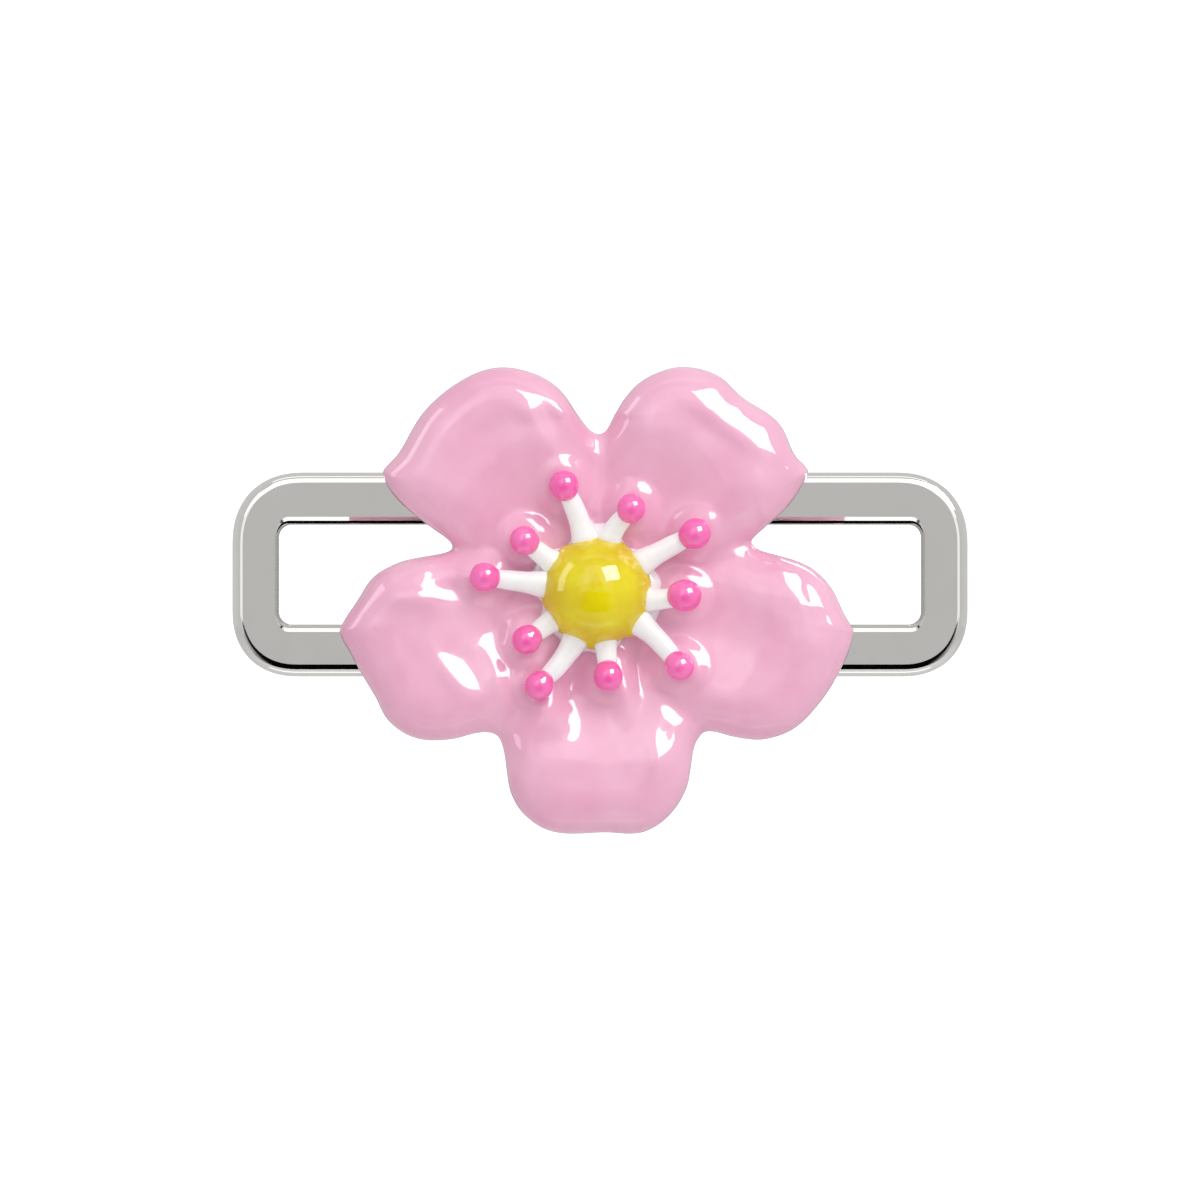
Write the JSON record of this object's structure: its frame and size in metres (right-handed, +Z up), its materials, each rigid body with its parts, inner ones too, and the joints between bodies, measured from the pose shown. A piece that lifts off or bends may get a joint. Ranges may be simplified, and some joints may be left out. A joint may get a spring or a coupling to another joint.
{
  "type": "hat pin",
  "caption": "Blossom ornament in coloured enamel on an open rectangular slide frame, with a hinged bar pin and a turning safety catch on the back.",
  "frame": {"origin": "middle of the slide frame on its back face, the plane that lies against the hat", "axes": "+X to the wearer's view right along the frame's long side, +Z up, the flower faces -Y and the pin side faces +Y"},
  "size_m": [0.04, 0.0118, 0.0256],
  "materials": {
    "frame_metal": "polished silver-coloured plating",
    "base_metal": "cast, silver-coloured plating",
    "pin_metal": "pressed, silver-coloured plating",
    "catch_metal": "turned, silver-coloured plating",
    "steel_wire": "drawn steel wire, ground point",
    "petal_enamel": "thick glossy light pink enamel",
    "pink_enamel": "glossy hot pink enamel",
    "white_enamel": "glossy white enamel",
    "yellow_enamel": "glossy yellow enamel"
  },
  "bodies": {
    "brooch": {"slide_frame": "frame_metal", "bridge_plate": "frame_metal", "flower_base": "base_metal", "petal_enamel": "petal_enamel", "stamen_hub": "white_enamel", "centre_dome": "yellow_enamel", "pin_bar": "pin_metal", "hinge_rivet": "pin_metal", "catch_housing": "pin_metal", "fixing_rivets": "pin_metal", "filament_01": "white_enamel", "filament_02": "white_enamel", "filament_03": "white_enamel", "filament_04": "white_enamel", "filament_05": "white_enamel", "filament_06": "white_enamel", "filament_07": "white_enamel", "filament_08": "white_enamel", "filament_09": "white_enamel", "filament_10": "white_enamel", "anther_01": "pink_enamel", "anther_02": "pink_enamel", "anther_03": "pink_enamel", "anther_04": "pink_enamel", "anther_05": "pink_enamel", "anther_06": "pink_enamel", "anther_07": "pink_enamel", "anther_08": "pink_enamel", "anther_09": "pink_enamel", "anther_10": "pink_enamel"},
    "stem": {"pin_stem": "steel_wire"},
    "roller": {"catch_roller": "catch_metal"}
  },
  "joints": [
    {"name": "stem_swing", "type": "hinge", "parent": "brooch", "child": "stem", "pos_m": [-0.00757, 0.00215, -0.0011], "axis": [0, 0, 1], "range_deg": [0, 100]},
    {"name": "catch_turn", "type": "hinge", "parent": "brooch", "child": "roller", "pos_m": [0.00645, 0.00215, -0.0011], "axis": [1, 0, 0], "range_deg": [0, 120]}
  ]
}
